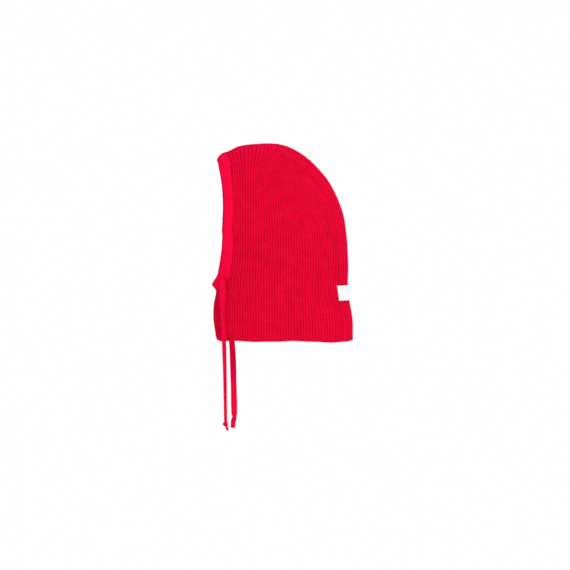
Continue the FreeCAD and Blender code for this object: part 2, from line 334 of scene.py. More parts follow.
FOLD_DEPTH = 3.6            # of the fold in front of each tie
CREASE_DEPTH = 1.4          # of the small crease behind each eyelet
CREASE_START = (-108.0, 89.0)   # its lower end, y and height
CREASE_RUN = (24.0, 15.0)       # how far it goes back and up


def throat_crease(points):
    """A fold of the neck runs down in front of each tie, and a small one slants up behind its eyelet."""
    x, y, z = points.T
    fold_y = -117.5 - 5.0 * ease(z, 30.0, 90.0)
    depth = FOLD_DEPTH * bell(y, fold_y, 3.2) * ease(z, 6.0, 30.0) * (1 - ease(z, 84.0, 96.0))
    back, up = CREASE_RUN
    from_y, from_z = y - CREASE_START[0], z - CREASE_START[1]
    along = (from_y * back + from_z * up) / (back ** 2 + up ** 2)
    away = (from_z * back - from_y * up) / math.hypot(back, up)
    depth += CREASE_DEPTH * bell(away, 0.0, 2.2) * ease(along, 0.05, 0.4) * (1 - ease(along, 0.6, 1.1))
    result = points.copy()
    result[:, 0] -= np.sign(x) * np.minimum(np.abs(x) / 8.0, 1.0) * depth
    return result


HEM_DIP = -2.0
BACK_CORNER = 5.5           # how far the hem's corners are rounded up
FRONT_CORNER = 8.0


def hem_wave(points):
    """The hem dips a little at the back, waves slightly along its length and rounds up at its corners."""
    x, y, z = points.T
    near = 1 - ease(z, 0.0, 60.0)
    wave = HEM_DIP * bell(y, 92.0, 32.0) + 0.6 * np.sin(y / 17.0 + np.sign(x)) + 0.3 * np.sin(y / 7.3)
    corner = BACK_CORNER * np.maximum(1 - np.abs(y - 126.0) / 16.0, 0) ** 2
    corner += FRONT_CORNER * np.maximum(1 - np.abs(y + 127.0) / 12.0, 0) ** 2
    result = points.copy()
    result[:, 2] += near * (wave + corner)
    return result


def crown_line(points):
    """The crown dips a little behind the band and stays full behind its crest."""
    _, y, z = points.T
    dip = -2.6 * bell(y, -99.0, 13.0) * ease(z, 305.0, 335.0)
    full = 1.8 * bell(y, -6.0, 34.0) + 1.5 * bell(y, -20.0, 46.0, power=4)
    result = points.copy()
    result[:, 2] += dip + full * ease(z, 300.0, 338.0)
    return result


HOLLOW_DEPTH = 3.0
HOLLOW_MIDDLE = 235.0       # height of the deepest place of the hollow in each side


def back_fullness(points):
    """Fuller back of the head and nape, flatter turn of the crown, and a soft hollow down each side."""
    x, y, z = points.T
    out = 1.4 * bell(z, 232.0, 32.0) + 1.0 * bell(z, 132.0, 24.0) - 1.3 * bell(z, 310.0, 15.0)
    hollow_y = -22.0 - 0.12 * (z - 230.0)
    hollow = HOLLOW_DEPTH * bell(y, hollow_y, 15.0) * bell(z, HOLLOW_MIDDLE, 55.0)
    result = points.copy()
    result[:, 0] -= np.sign(x) * ease(np.abs(x), 10.0, 45.0) * hollow
    result[:, 1] += out * ease(y, 0.0, 60.0)
    return result


def settle(points):
    """All of the cloth's unevenness, for points of any knitted piece."""
    return hem_wave(slack(throat_crease(back_fullness(crown_line(points)))))


# ---- meshes ----
MIRROR = np.array([-1.0, 1.0, 1.0])
MERGE = 0.00002             # points nearer than this become one, in metres


def add_to_scene(piece):
    bpy.context.scene.collection.objects.link(piece)
    return piece


def new_mesh(name, points, faces, uvs=None, values=None, merge=0.0):
    """Object from points in millimetres; uvs and values are given for each point; the values are the painted
    shade, low in the furrows.
    """
    mesh = bpy.data.meshes.new(name)
    mesh.from_pydata([tuple(p) for p in to_row(points)], [], faces)
    mesh.validate()
    corner_points = np.empty(len(mesh.loops), np.int32)
    mesh.loops.foreach_get("vertex_index", corner_points)
    if uvs is not None:
        layer = mesh.uv_layers.new(name="knit")
        layer.data.foreach_set("uv", np.asarray(uvs, np.float32)[corner_points].ravel())
    if values is not None:
        attribute = mesh.attributes.new("painted_shade", "FLOAT", "POINT")
        attribute.data.foreach_set("value", np.asarray(values, np.float32))
    work = bmesh.new()
    work.from_mesh(mesh)
    if merge > 0:
        bmesh.ops.remove_doubles(work, verts=work.verts, dist=merge)
    else:
        bmesh.ops.recalc_face_normals(work, faces=work.faces)
    work.to_mesh(mesh)
    work.free()
    mesh.polygons.foreach_set("use_smooth", [True] * len(mesh.polygons))
    return add_to_scene(bpy.data.objects.new(name, mesh))


def settled_tube(name, points, closed, uvs=None, values=None):
    """Tube from rings by sides of points on the skin, with the cloth's unevenness."""
    rings, sides = points.shape[:2]
    return new_mesh(name, settle(points.reshape(-1, 3)), ring_faces(rings, sides, closed), uvs, values)


def evaluated_mesh(piece):
    graph = bpy.context.evaluated_depsgraph_get()
    return bpy.data.meshes.new_from_object(piece.evaluated_get(graph), depsgraph=graph)


class Sheet:
    """Points, faces, knit coordinates and painted shade values gathered for one knitted piece."""

    def __init__(self):
        self.parts, self.faces = [], []

    def grid(self, points, across, along, values, flip=False):
        """Adds a grid of points, rows by columns."""
        start = sum(len(part) for part in self.parts)
        at = start + np.arange(across.size).reshape(across.shape)
        quads = np.dstack([at[:-1, :-1], at[:-1, 1:], at[1:, 1:], at[1:, :-1]]).reshape(-1, 4)
        self.faces += (quads[:, ::-1] if flip else quads).tolist()
        self.parts.append(np.dstack([points, across, along, values]).reshape(-1, 6))

    def both_sides(self, points, across, along, values, from_back):
        """Adds a grid of the wearer's left, its columns from the back or the front, and its mirror image."""
        self.grid(points, across, along, values, flip=from_back)
        self.grid(points * MIRROR, across, along, values, flip=not from_back)

    def build(self, name, thickness):
        """The finished piece, with an inner face thickness millimetres in from its outer one."""
        data = np.concatenate(self.parts)
        piece = new_mesh(name, settle(data[:, :3]), self.faces, data[:, 3:5], data[:, 5], MERGE)
        modifier = piece.modifiers.new("thickness", "SOLIDIFY")
        modifier.thickness = thickness / 1000
        modifier.offset = -1.0
        modifier.use_even_offset = False
        thin, thick = piece.data, evaluated_mesh(piece)
        piece.modifiers.clear()
        piece.data = thick
        bpy.data.meshes.remove(thin)
        return piece


# ---- the rib knit ----
LOWER_ROWS = 32             # rows of points between the hem and the throat, then up to the crown's turn
MIDDLE_ROWS = 52
UPPER_ROWS = 16
GUSSET_ROWS = 150
GUSSET_HALF_RIBS = 7
SEAM_FADE = 3.5             # length over which a rib flattens where it runs into a seam


def ridge(ribs):
    """Height of the rib knit across its ribs: 0 in a furrow, 1 on a rib."""
    return np.abs(np.sin(math.pi * ribs)) ** 0.75


def knit_lift(ribs, along, edge_near):
    """Outward lift of the rib knit; it flattens towards the seams."""
    wander = 0.12 * np.sin(along / 23.0 + ribs * 2.1) + 0.08 * np.sin(along / 9.0 + ribs * 5.3)
    high = ridge(ribs + 0.05 * wander)
    return RIB_DEPTH * (high * (1 + 0.5 * wander) - 1) * edge_near


def panel_runs(zone, rib, corner):
    """Blocks of one rib from the hem up; zone 0 ends at the band, 1 on the crown, 2 at the gusset."""
    if zone == 0:
        end = first_height(lambda h: line_y(rib, h) >= band_seam_y(h), NECK_HEIGHT, THROAT)
        return [run_of_rib(rib, PANEL_LOW, end, LOWER_ROWS)]
    lower = run_of_rib(rib, PANEL_LOW, THROAT, LOWER_ROWS)
    if zone == 2:
        end = first_height(lambda h: line_y(rib, h) <= gusset_edge_y(h) + 0.02, THROAT, corner)
        return [lower, run_of_rib(rib, THROAT, end, MIDDLE_ROWS)]
    fold = first_height(on_skin(rib), NECK_HEIGHT, TOP)
    turning = corner - 14.0 * (rib - DART_RIB) / (BAND_RIB - DART_RIB)
    return [lower, run_of_rib(rib, THROAT, turning, MIDDLE_ROWS), run_of_rib(rib, turning, fold, UPPER_ROWS)]


def hood_panel():
    """The main panel: ribs from the hem to the band, over the crown, or to the gusset."""
    arc, arc_y = neck_arc()
    first_rib = float(front_line(NECK_HEIGHT))
    marks = np.interp([first_rib, BAND_RIB, DART_RIB, NAPE_Y - GUSSET_INSET], arc_y, arc)
    corner = dart_corner()
    sheet = Sheet()
    for zone, (low_arc, high_arc) in enumerate(zip(marks, marks[1:])):
        count = max(int(round((high_arc - low_arc) / RIB_PITCH * COLUMNS_PER_RIB)), 8)
        arcs = np.linspace(low_arc, high_arc, count + 1)
        edge = np.minimum(np.abs(arcs - marks[0]), np.abs(marks[3] - arcs))
        blocks = zip(*(panel_runs(zone, rib, corner) for rib in np.interp(arcs, arc, arc_y)))
        base = 0.0
        for block, runs in enumerate(blocks):
            turns, heights, along = (np.array(part).T for part in zip(*runs))
            along = along + base
            base = along[-1][None, :]
            ribs = np.broadcast_to(arcs / RIB_PITCH, turns.shape)
            near = np.ones_like(turns)
            if (zone, block) in ((0, 0), (2, 1)):       # these ribs run into a seam
                near = np.clip((base - along) / SEAM_FADE, 0, 1) ** 0.6
            if block == 0:
                near = near * (0.75 + 0.25 * ease(along, 0.0, 5.0))
            near = near * np.clip(0.35 + edge / 4.0, 0, 1)[None, :]
            if block == 2:                              # flatter at the top of the crown
                near = near * (1 - 0.55 * ease(along, base[0].min() - 22.0, base[0].min()))
            points = skin(turns, heights, knit_lift(ribs, along, near))
            # the ridge values are the painted shade: darker in the furrows
            sheet.both_sides(points, ribs, along / RIB_PITCH, ridge(ribs), from_back=False)
    return sheet.build("hood_panel_knit", PANEL_THICK)


def back_gusset():
    """The narrow panel from the hem up the nape and over the crown; its ribs follow the outline."""
    across = GUSSET_HALF_RIBS * COLUMNS_PER_RIB
    growth = 2.0 / SECTION_POWER    # of the inset with the distance from the centre back
    low = np.linspace(PANEL_LOW, CROWN_BASE, 200)
    angles = np.linspace(0, math.pi / 2, 500)
    columns = []
    for share in np.linspace(0, 1, across + 1):
        inset = GUSSET_INSET * share ** growth
        round_y = CREST_Y + (NAPE_Y - CREST_Y - inset) * np.maximum(np.cos(angles), 0) ** (2 / CROWN_POWER)
        round_height = CROWN_BASE + (TOP - CROWN_BASE - inset) * np.sin(angles) ** (2 / CROWN_POWER)
        y = np.concatenate([back_line(low) - inset, round_y[1:]])
        height = np.concatenate([low, round_height[1:]])
        kept = y > rib_y(DART_RIB, height) - 0.3
        turns = turn_at(y[kept], height[kept])
        if share == 0:
            turns[:] = math.pi
        columns.append(spaced(turns, height[kept], GUSSET_ROWS))
    turns, heights, along = (np.array(part).T for part in zip(*columns))
    ribs = np.broadcast_to(np.linspace(0.5, GUSSET_HALF_RIBS + 0.5, across + 1), turns.shape)
    near = np.ones_like(turns)
    near *= np.clip(0.3 + (across - np.arange(across + 1)) / COLUMNS_PER_RIB, 0, 1)[None, :]
    near *= np.clip((along[-1][None, :] - along) / SEAM_FADE, 0, 1) ** 0.6
    points = skin(turns, heights, knit_lift(ribs, along, near))
    sheet = Sheet()
    # the ridge values are the painted shade: darker in the furrows
    sheet.both_sides(points, ribs, along / RIB_PITCH, ridge(ribs), from_back=True)
    return sheet.build("back_gusset_knit", PANEL_THICK)


# ---- tubes swept along lines on the skin ----
SEAM_STEP = 0.55            # between the rings of a seam's yarns


def ring_faces(rings, sides, closed):
    """Faces of a tube of rings; a closed tube joins its last ring to its first, an open one is capped."""
    corners = np.arange(rings * sides).reshape(rings, sides)
    next_ring = np.roll(corners, -1, axis=0)
    quads = np.dstack([corners, np.roll(corners, -1, axis=1), np.roll(next_ring, -1, axis=1), next_ring])
    if closed:
        return quads.reshape(-1, 4).tolist()
    return quads[:-1].reshape(-1, 4).tolist() + [corners[0, ::-1].tolist(), corners[-1].tolist()]


def directions(points, closed):
    """Unit directions of travel along a line of points."""
    if closed:
        return unit(np.roll(points, -1, axis=0) - np.roll(points, 1, axis=0))
    return unit(np.gradient(points, axis=0))


def even(points, step, closed=False):
    """The line of points, taken again at even steps; columns after the third go with their points."""
    line = np.vstack([points, points[:1]]) if closed else points
    run = run_along(line[:, :3])
    count = max(int(round(run[-1] / step)), 4)
    wanted = np.linspace(0, run[-1], count + 1)
    taken = np.stack([np.interp(wanted, run, line[:, i]) for i in range(line.shape[1])], axis=1)
    return (taken[:-1], wanted[:-1]) if closed else (taken, wanted)


def round_tube(points, radius, sides, closed=False):
    """Rings and faces of a round tube; radius is one number or one for each point."""
    along = directions(points, closed)
    normal = unit(np.cross(along, np.array([0.31, 0.17, 0.93])))    # any direction the lines never run in
    other = np.cross(along, normal)
    cos, sin = (row[..., None] for row in circle(sides))
    radius = np.broadcast_to(radius, len(points))[:, None, None]
    rings = points[:, None] + radius * (normal[:, None] * cos + other[:, None] * sin)
    return rings.reshape(-1, 3), ring_faces(len(points), sides, closed)


def joined(name, parts):
    """One settled object from several (points, faces) parts."""
    faces, start = [], 0
    for part_points, part_faces in parts:
        faces += [[start + i for i in face] for face in part_faces]
        start += len(part_points)
    return new_mesh(name, settle(np.concatenate([points for points, _ in parts])), faces)


def crossed_yarns(name, line, side, normal, phase, reach, rise, yarn, closed=False):
    """Two yarns that cross over each other along a line, reach to either side of it."""
    parts = []
    for turn in (0, math.pi):
        sway = reach * np.sin(phase + turn)
        lift = rise * np.cos(phase + turn)
        parts.append(round_tube(line + side * sway[:, None] + normal * lift[:, None], yarn, 6, closed))
    return joined(name, parts)


def linked_seam(name, turns, heights, reach, yarn, lift, closed=False):
    """Crossed yarns along a line on the skin, as in a linked or chain seam."""
    both, run = even(np.hstack([skin(turns, heights, lift), skin_normal(turns, heights)]), SEAM_STEP, closed)
    line = both[:, :3]
    normal = unit(both[:, 3:])
    side = np.cross(directions(line, closed), normal)
    cycles = max(round(run[-1] / (2 * STITCH)), 1)
    phase = 2 * math.pi * cycles * run / (run[-1] + (run[1] if closed else 0))
    return crossed_yarns(name, line, side, normal, phase, reach, 0.55 * yarn, yarn, closed)


def band_seam():
    """All round the face, along the band's seam edge."""
    edges = band_edges()
    return linked_seam("band_seam_yarn", edges[:, 0], edges[:, 1], 0.9, 0.62, -0.5, closed=True)


def gusset_seam(name, side):
    """Beside the centre back, from the hem to the dart."""
    height = np.linspace(PANEL_LOW, CROWN_BASE, 60)
    end = dart_corner()
    share = np.linspace(0, 1, 140)[1:]
    height = np.concatenate([height, end - (end - CROWN_BASE) * (1 - share) ** 2])
    return linked_seam(name, side * turn_at(gusset_edge_y(height), height), height, 0.7, 0.45, -0.25)


def dart_seam():
    """Across the crown, from one gusset seam to the other."""
    low = dart_corner()
    heights = np.linspace(low, first_height(on_skin(DART_RIB), low, TOP), 160)
    points = skin(turn_at(line_y(DART_RIB, heights), heights), heights, -0.1)
    line, run = even(np.concatenate([points, (points * MIRROR)[::-1][1:]]), SEAM_STEP)
    side = np.cross(directions(line, False), UP)
    return crossed_yarns("dart_seam_yarn", line, side, UP, math.pi * run / STITCH, 0.7, 0.2, 0.45)


def front_neck_seam():
    """At the centre front, from the hem to the throat."""
    heights = np.linspace(PANEL_LOW, 90.0, 120)
    return linked_seam("front_neck_seam_yarn", 0 * heights, heights, 0.7, 0.5, -0.2)


def hem_edge():
    """Bound-off edge: a rounded rim that rises and falls with the ribs."""
    arc, _ = neck_arc()
    turns = np.linspace(-math.pi, math.pi, 1200, endpoint=False)
    arcs = np.interp(np.abs(turns), np.linspace(0, math.pi, len(arc)), arc)
    swell = ridge(arcs / RIB_PITCH)
    cos, sin = circle(12)
    out = -HEM_OUT + (HEM_OUT + 0.35 * swell)[:, None] * cos
    heights = HEM_HALF + HEM_HALF * sin + 0 * out
    points = skin(np.broadcast_to(turns[:, None], out.shape), heights, out)
    # painted shade: darker where the hem dips between the ribs
    values = np.broadcast_to((0.45 + 0.55 * swell)[:, None], out.shape)
    return settled_tube("hem_edge_knit", points, True, values=values.ravel())


# ---- face band ----
# side view, from the throat up and over to the crown: y and height of the seam edge, then of the free edge
BAND_STATIONS = [
    (-126.0, THROAT_LOW, -131.6, 102.5), (-112.0, 98.0, -126.0, 110.5), (-104.0, 110.0, -122.6, 118.5),
    (-99.2, THROAT, -119.4, 130.0), (-95.9, 150.0, -116.0, 150.0), (-95.3, 190.0, -112.6, 190.0),
    (-95.0, 230.0, -111.2, 230.0), (-95.3, 265.0, -112.0, 265.0), (-96.7, 293.0, -115.2, 292.0),
    (-99.4, 316.0, -119.0, 311.0), (-101.5, 331.0, -121.6, 321.5), (-105.0, 342.2, -123.4, 324.6)]
BAND_RINGS = 480
BAND_PROUD = 1.6            # how far it stands out of the skin
BAND_HALF_THICK = 3.1
BAND_COLUMNS = 12           # columns of stitches across its two faces
BAND_COURSES = 250          # courses of stitches along it
THROAT_PUSH = 6.5           # how far the band stands forward at the throat


def band_edges():
    """Turn and height of the band's seam edge, then of its free edge, once round the face."""
    rows = np.array(BAND_STATIONS)
    for column in (0, 2):
        rows[:, column] = turn_at(rows[:, column], rows[:, column + 1])
        rows[[0, -1], column] = 0.0
    closed = np.concatenate([rows, rows[-2:0:-1] * np.array([-1.0, 1.0, -1.0, 1.0])])
    at = np.linspace(0, len(closed), BAND_RINGS, endpoint=False)
    i = at.astype(int)
    before, here, there, after = (closed[(i + k) % len(closed)] for k in (-1, 0, 1, 2))
    return hermite((at - i)[:, None], here, there, (there - before) / 2, (after - here) / 2)


def band_at(edges, share):
    """Turns and heights between the band's seam edge (share 0) and its free edge (share 1)."""
    seam, free = edges[:, :2, None], edges[:, 2:, None]
    return (seam + (free - seam) * share).transpose(1, 0, 2)


def face_band():
    """Doubled smooth-knit band: a flattened tube whose free edge rolls over."""
    edges = band_edges()
    angles = full_turn(40)
    share = (0.5 - 0.5 * signed_power(np.cos(angles), 0.62))[None, :]
    rise = signed_power(np.sin(angles), 0.75)
    turns, heights = band_at(edges, share)
    place = full_turn(len(edges))
    pucker = 0.28 * np.sin(47 * place) + 0.22 * np.sin(83 * place + 1.0)
    fade = np.sin(math.pi * share)
    out = BAND_PROUD - BAND_HALF_THICK + (BAND_HALF_THICK + pucker[:, None] * fade) * rise[None, :]
    throat_tip = bell(turns, 0.0, 0.25) * (1 - ease(heights, 103.0, 116.0))
    out = out + THROAT_PUSH * throat_tip * share ** 2
    around = np.broadcast_to(angles / (2 * math.pi) * BAND_COLUMNS, out.shape)
    length = np.broadcast_to((place / (2 * math.pi) * BAND_COURSES)[:, None], out.shape)
    uvs = np.stack([around, length], axis=-1).reshape(-1, 2)
    # one painted shade value all along the band, near a rib's
    return settled_tube("face_band_knit", skin(turns, heights, out), True, uvs, np.full(out.size, 0.85))


def drawcord_run():
    """The flat cord inside the band, from one eyelet over the crown to the other."""
    per_station = BAND_RINGS / (2 * len(BAND_STATIONS) - 2)
    edges = band_edges()[int(2.4 * per_station):int(19.6 * per_station)]
    cos, sin = circle(16)
    turns, heights = band_at(edges, 0.52 + 0.22 * cos)
    out = -1.5 + 1.1 * sin + 0 * turns
    values = np.full(out.size, CORD_SHADE)
    return settled_tube("drawcord_run_knit", skin(turns, heights, out), False, values=values)


# ---- eyelets ----
EYELET_AT = (-108.5, 110.0)     # side-view y and height
EYELET_RING = 4.5               # middle of its stitched ring
EYELET_YARN = 1.15
EYELET_STITCHES = 18


def place_on_skin(y, height, side, out):
    """Point on the skin, and the directions out of it, along it and up it."""
    turn = side * turn_at(y, height)
    normal = skin_normal(turn, height)
    up = UP - normal * normal[2]
    up /= np.linalg.norm(up)
    return skin(turn, height, out), normal, np.cross(up, normal), up


def eyelet(name, side):
    """Buttonhole-stitched hole: a ring of yarn crossed by short stitches."""
    point, normal, across, up = place_on_skin(*EYELET_AT, side, BAND_PROUD + 0.35)
    turn = full_turn(144)
    radius = EYELET_YARN * (0.72 + 0.28 * np.abs(np.sin(turn * EYELET_STITCHES / 2)))[:, None]
    cos, sin = circle(10)
    away = EYELET_RING + radius * cos
    rise = radius * sin * 0.85
    outward = across * np.cos(turn)[:, None, None] + up * np.sin(turn)[:, None, None]
    return settled_tube(name, point + away[..., None] * outward + rise[..., None] * normal, True)


# ---- the two ties ----
CORD_WIDTH = 11.0
CORD_THICK = 3.6
KNOT_SIZE = 3.4 / 2.8       # brings the knot's curve to a radius of about 3.6
KNOT_DROP = 3.5             # from the end of a route to the middle of its knot
KNOT_YARN = 1.75            # half thickness of the cord drawn tight in its knot
KNOT_SIDES = 16
MOUTH_WIDTH = 6.0           # of the cord bunched in its eyelet
MOUTH_THICK = 4.6
COURSE = 2.4                # length of one course of the cord's stitches
# painted shade level of the cords' colour, near a rib's
CORD_SHADE = 0.8
TAIL_THICK = 3.0

# routes in the row frame's metres, from the eyelet down to the knot
LEFT_ROUTE = [(0.0336, -0.1126, -0.236), (0.0342, -0.1132, -0.268), (0.0354, -0.1124, -0.305),
              (0.0372, -0.1108, -0.342), (0.0383, -0.1096, -0.380), (0.0380, -0.1088, -0.418),
              (0.0388, -0.1084, -0.455), (0.0386, -0.1078, -0.490)]
RIGHT_ROUTE = [(-0.0336, -0.1126, -0.236), (-0.0352, -0.1082, -0.266), (-0.0382, -0.1006, -0.303),
               (-0.0406, -0.0950, -0.340), (-0.0416, -0.0926, -0.377), (-0.0414, -0.0917, -0.414),
               (-0.0422, -0.0906, -0.450), (-0.0420, -0.0902, -0.484)]
LEFT_TAIL = [(38.6, -107.6, -148.0), (38.8, -105.8, -154.0), (38.5, -103.4, -159.2)]
RIGHT_TAIL = [(-42.0, -91.6, -141.0), (-41.8, -92.4, -149.0), (-42.2, -92.6, -158.6)]
# turn of each tie's width about its own line, from the eyelet to the knot, in degrees
LEFT_TWIST = [10, 22, 56, 50, 55, 60, 65, 66]
RIGHT_TWIST = [20, 10, 8, 14, 10, 14, 12, 24]


def route_points(name, route):
    """Points of the route's NURBS line, in millimetres above the hem."""
    curve = bpy.data.curves.new(name, "CURVE")
    curve.dimensions = "3D"
    curve.resolution_u = 24
    spline = curve.splines.new("NURBS")
    spline.points.add(len(route) - 1)
    for point, place in zip(spline.points, route):
        point.co = (*place, 1.0)
    spline.order_u = 3
    spline.use_endpoint_u = True
    holder = add_to_scene(bpy.data.objects.new(name, curve))
    line = evaluated_mesh(holder)
    points = np.array([vertex.co for vertex in line.vertices])
    bpy.data.objects.remove(holder)
    bpy.data.meshes.remove(line)
    return from_row(points)


def flat_cord(name, points, run, widths, thicks, twist, side, columns=4, sides=48):
    """Flat knitted cord along a line, with fine columns of stitches on its faces."""
    along = directions(points, False)
    outward = np.array([side, 0.0, 0.0])
    outward = unit(outward - along * (along @ outward)[:, None])
    level = np.cross(along, outward)
    turn = np.radians(twist)[:, None]
    wide = level * np.cos(turn) + outward * np.sin(turn)
    thin = np.cross(wide, along)
    cos, sin = circle(sides)
    x = signed_power(cos, 0.8)
    y = signed_power(sin, 0.7)
    groove = 1 - 0.16 * np.abs(np.cos(math.pi * columns * (x + 1) / 2)) ** 3
    stitch = 1 + 0.05 * np.sin(2 * math.pi * run / COURSE)[:, None] * np.cos(math.pi * columns * x)
    rings = (points[:, None] + wide[:, None] * (x * widths[:, None] / 2)[..., None]
             + thin[:, None] * (y * groove * stitch * thicks[:, None] / 2)[..., None])
    uvs = np.stack(np.broadcast_arrays((x + 1) / 2 * columns, run[:, None] / COURSE), axis=-1)
    return new_mesh(name, rings.reshape(-1, 3), ring_faces(len(points), sides, False), uvs.reshape(-1, 2),
                    np.full(rings.size // 3, CORD_SHADE))


def tie(name, route, twists, side, gather):
    """A hanging tie and its centre line; it is bunched in its eyelet, and by gather above its knot."""
    hanging = route_points(name + "_route", route)
    inside, normal, _, _ = place_on_skin(*EYELET_AT, side, -1.2)
    mouth = inside + normal * 4.2 + UP * 0.5
    lead = bow((inside, mouth, hanging[0]), np.linspace(0, 1, 8)[:-1, None])
    points, run = even(np.vstack([settle(lead), hanging]), 1.2)
    bunch = ease(run, 3.0, 15.0) * (1 - gather * ease(run, run[-1] - 6.0, run[-1]))
    widths = MOUTH_WIDTH + (CORD_WIDTH - MOUTH_WIDTH) * bunch + 0.25 * np.sin(run / 11.0 + side)
    thicks = MOUTH_THICK + (CORD_THICK - MOUTH_THICK) * bunch
    twist = side * smooth_through(np.linspace(0, run[-1], len(twists)), twists, run)
    return flat_cord(name, points, run, widths, thicks, twist, side), to_row(points)


def tail(name, route, width, side):
    """The short end of the cord below its knot, narrower just under it and rounded at the cut."""
    points, run = even(bow(np.array(route), np.linspace(0, 1, 24)[:, None]), 0.5)
    left = run[-1] - run
    widths = width * (0.85 + 0.15 * ease(run, 0.0, 5.0)) * np.sqrt(np.clip(left / 1.6, 0.12, 1))
    thicks = TAIL_THICK * np.sqrt(np.clip(left / 1.2, 0.15, 1))
    return flat_cord(name, points, run, widths, thicks, np.full(len(run), 10.0 * side), side, 3, 32)


def knot(name, route, side):
    """Overhand knot: the cord crosses over itself three times."""
    centre = from_row(route[-1]) - UP * KNOT_DROP
    t = full_turn(150)
    x, y, z = -1.3 * np.sin(3 * t), np.sin(t) + 2 * np.sin(2 * t), np.cos(t) - 2 * np.cos(2 * t)
    loop = np.stack([x, y, z], axis=1) * KNOT_SIZE
    turn = Matrix.Rotation(0.35 * side, 3, "Z") @ Matrix.Rotation(0.3, 3, "Y") @ Matrix.Rotation(0.6, 3, "X")
    thick = KNOT_YARN + 0.12 * np.sin(9 * t)
    points, faces = round_tube(centre + loop @ np.array(turn).T, thick, KNOT_SIDES, closed=True)
    around, along = np.meshgrid(np.arange(KNOT_SIDES) / 4, t * 4.0)
    uvs = np.stack([around.ravel(), along.ravel()], axis=-1)
    # a little more painted shade than the cord, for the knot's folds
    return new_mesh(name, points, faces, uvs, np.full(len(points), 0.75))


# ---- labels ----
LABEL_HALF = 27.0
LABEL_HEIGHT = 27.0
LABEL_THICK = 0.8
LABEL_STITCH_INSET = 1.9    # of the stitches, from the label's ends
LABEL_STITCHES = 7
CARE_THICK = 0.3
# side-view y of the label's end and the heights of its end and of its middle, at the lower and upper edge
LABEL_LOW = (95.4, 72.4, 73.6)
LABEL_HIGH = (91.2, 99.6, 100.6)


def label_place(across, rise):
    """Turn and height on the label; across runs from -1 to 1 and rise from 0 to 1."""
    low, high = np.array([LABEL_LOW, LABEL_HIGH])[:, :, None, None]
    end_y, end_height, middle_height = low + (high - low) * rise
    heights = middle_height + (end_height - middle_height) * across ** 2
    return math.pi - across * (math.pi - turn_at(end_y, heights)), heights


def back_label():
    """Blank woven label folded round the nape, its ends turned under."""
    across, rise = np.meshgrid(np.linspace(-1, 1, 73), np.linspace(0, 1, 31))
    turns, heights = label_place(across, rise)
    edge = (1 - np.abs(across)) * LABEL_HALF
    border = np.minimum(rise, 1 - rise) * (LABEL_HIGH[1] - LABEL_LOW[1])
    turned_under = 0.35 * ease(edge, 4.2, 3.6)
    quilting = 0.12 * np.sin(across * 9.0 + rise * 2.0) * ease(border, 0.0, 3.0)
    drawn_in = 0.35 * bell(edge, LABEL_STITCH_INSET, 0.7) + 0.35 * ease(border, 0.8, 0.0)
    out = 0.5 + LABEL_THICK + turned_under + quilting - drawn_in
    sheet = Sheet()
    points = skin(turns, heights, out)
    sheet.grid(points, across * LABEL_HALF, rise * LABEL_HEIGHT, np.ones_like(out), flip=True)
    return sheet.build("back_label_woven", LABEL_THICK)


def label_stitches():
    """Short thread stitches down both ends of the label."""
    parts = []
    t = np.linspace(0, 1, 9)[:, None]
    for side in (-1, 1):
        for i in range(LABEL_STITCHES):
            rise = (i + 0.25 + 0.5 * t) / LABEL_STITCHES
            across = np.full_like(rise, side * (1 - LABEL_STITCH_INSET / LABEL_HALF))
            turns, heights = label_place(across, rise)
            out = 0.95 + LABEL_THICK + 0.35 * np.sin(math.pi * t)
            parts.append(round_tube(skin(turns, heights, out).reshape(-1, 3), 0.28, 6))
    return joined("label_stitches_thread", parts)


def care_label():
    """Blank satin care label inside, sewn at its top edge and curling away a little below."""
    low, high = (from_row(corner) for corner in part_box("care_label"))
    y, rise = np.meshgrid(np.linspace(low[1], high[1], 25), np.linspace(0, 1, 35))
    heights = low[2] + (high[2] - low[2]) * rise
    curl = 2.2 * (1 - rise) ** 2 + 0.25 * np.sin(y / 5.0) * (1 - rise)
    points = skin(turn_at(y, heights), heights, -PANEL_THICK - 1.3 - curl)
    sheet = Sheet()
    sheet.grid(points, y - low[1], heights - low[2], np.ones_like(y))
    return sheet.build("care_label_satin", CARE_THICK)


# ---- materials ----
RED_PINK_SHEEN = (1.0, 0.015, 0.22, 1.0)
WHITE = (1.0, 1.0, 1.0, 1.0)
SPECULAR = "Specular IOR Level"


